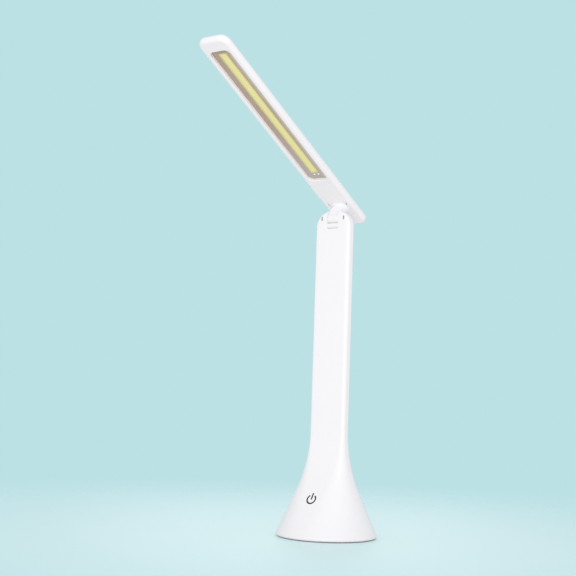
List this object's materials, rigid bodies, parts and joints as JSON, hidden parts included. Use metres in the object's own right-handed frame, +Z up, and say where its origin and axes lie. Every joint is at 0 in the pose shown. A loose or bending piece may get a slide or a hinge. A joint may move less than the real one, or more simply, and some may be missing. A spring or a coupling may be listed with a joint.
{
  "type": "folding desk lamp",
  "caption": "Folding desk lamp: slim light bar on a friction hinge at the top of a flat upright that flares into a round weighted foot with a touch field.",
  "frame": {"origin": "centre of the foot's underside, on the surface that the lamp stands on", "axes": "+Z up along the upright; the front, where the light bar points, is -Y; X lies along the hinge axis"},
  "size_m": [0.0848, 0.217, 0.3854],
  "materials": {
    "white_gloss": "white moulding, polished",
    "white_matte": "white moulding, fine texture",
    "steel": "bright zinc-plated steel",
    "ballast_steel": "pressed steel, plain",
    "rubber_pad": "matte rubber",
    "foam": "closed-cell foam",
    "cell_foil": "aluminium foil pouch",
    "black_plastic": "matte black",
    "red_insulation": "wire insulation",
    "black_insulation": "wire insulation",
    "circuit_board": "glass-fibre laminate, green mask",
    "ferrite": "ferrite core",
    "connector_nylon": "natural nylon",
    "light_pipe": "clear acrylic",
    "copper": "copper foil",
    "icon_ink": "black print",
    "washer_nylon": "filled nylon",
    "board_aluminium": "aluminium core, white solder mask",
    "phosphor": "yellow phosphor in silicone",
    "solder": "solder"
  },
  "bodies": {
    "base": {"main_shell": "white_gloss", "rear_cover": "white_gloss", "cover_screws": "steel", "base_plate": "white_matte", "base_screws": "steel", "foot_pad": "rubber_pad", "ballast_disc": "ballast_steel", "battery_cell": "cell_foil", "battery_tape": "black_plastic", "battery_leads": "red_insulation", "main_board": "circuit_board", "board_screws": "steel", "charging_socket": "steel", "charge_light_pipe": "light_pipe", "control_chip": "black_plastic", "boost_inductor": "ferrite", "lead_connector": "connector_nylon", "touch_electrode": "copper", "touch_icon": "icon_ink", "stem_leads": "black_insulation", "friction_washers": "washer_nylon"},
    "head": {"hinge_neck": "white_gloss", "hinge_pins": "steel", "pin_clips": "steel", "neck_plate": "steel", "neck_screws": "steel", "head_housing": "white_gloss", "head_cover": "white_gloss", "led_board": "board_aluminium", "phosphor_strip": "phosphor", "solder_pads": "solder", "board_foam": "foam", "head_leads": "red_insulation"}
  },
  "joints": [
    {"name": "head_tilt", "type": "hinge", "parent": "base", "child": "head", "pos_m": [0, 0, 0.27], "axis": [1, 0, 0], "range_deg": [-31.2, 118.8]}
  ]
}
